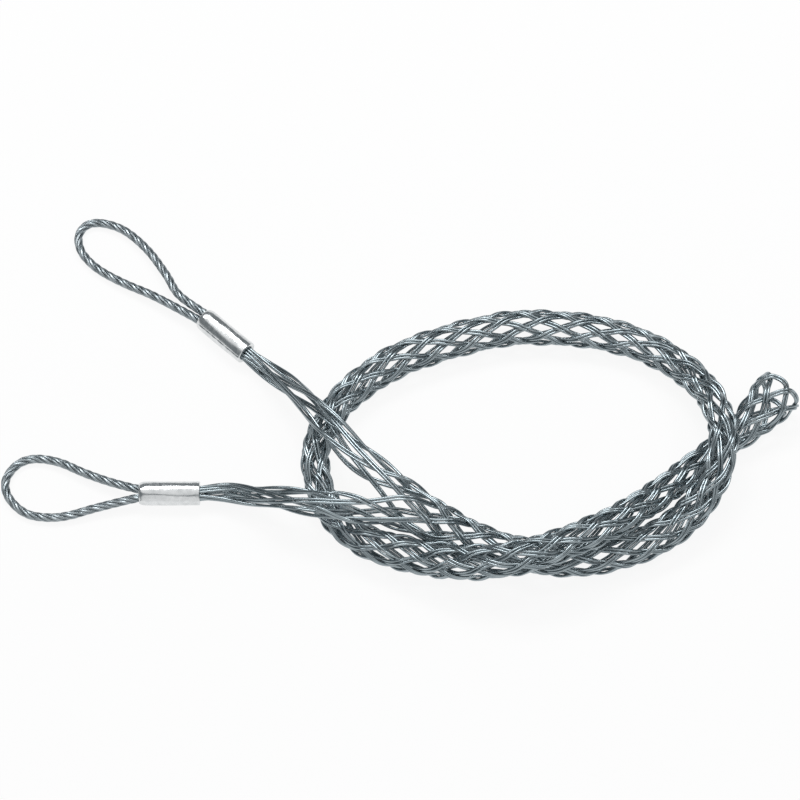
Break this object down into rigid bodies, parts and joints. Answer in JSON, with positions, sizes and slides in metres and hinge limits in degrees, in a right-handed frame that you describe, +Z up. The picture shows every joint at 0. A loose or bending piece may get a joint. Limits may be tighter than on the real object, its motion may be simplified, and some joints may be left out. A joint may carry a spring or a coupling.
{
  "type": "cable pulling grip",
  "caption": "Woven wire cable pulling grip, lying coiled: an open sock of doubled wires that parts into legs, each pressed into a ferrule with a wire rope eye.",
  "frame": {"origin": "on the ground under the middle of the whole coiled grip", "axes": "+X from the eyes towards the mouth, +Y away from the viewer of the picture, +Z up"},
  "size_m": [0.3948, 0.2136, 0.0366],
  "materials": {
    "galvanised_wire": "drawn galvanised steel wire, grey, with bright lines along each wire",
    "wire_rope": "laid galvanised steel wire rope",
    "pressed_aluminium": "pressed aluminium sleeve, bright satin"
  },
  "bodies": {
    "root": {"ferrule_upper": "pressed_aluminium", "eye_rope_upper": "wire_rope", "ferrule_lower": "pressed_aluminium", "eye_rope_lower": "wire_rope", "strand_upper_right_1": "galvanised_wire", "strand_upper_left_1": "galvanised_wire", "strand_upper_right_2": "galvanised_wire", "strand_upper_left_2": "galvanised_wire", "strand_upper_right_3": "galvanised_wire", "strand_upper_left_3": "galvanised_wire", "strand_lower_right_1": "galvanised_wire", "strand_lower_left_1": "galvanised_wire", "strand_lower_right_2": "galvanised_wire", "strand_lower_left_2": "galvanised_wire", "strand_lower_right_3": "galvanised_wire", "strand_lower_left_3": "galvanised_wire"}
  },
  "joints": []
}
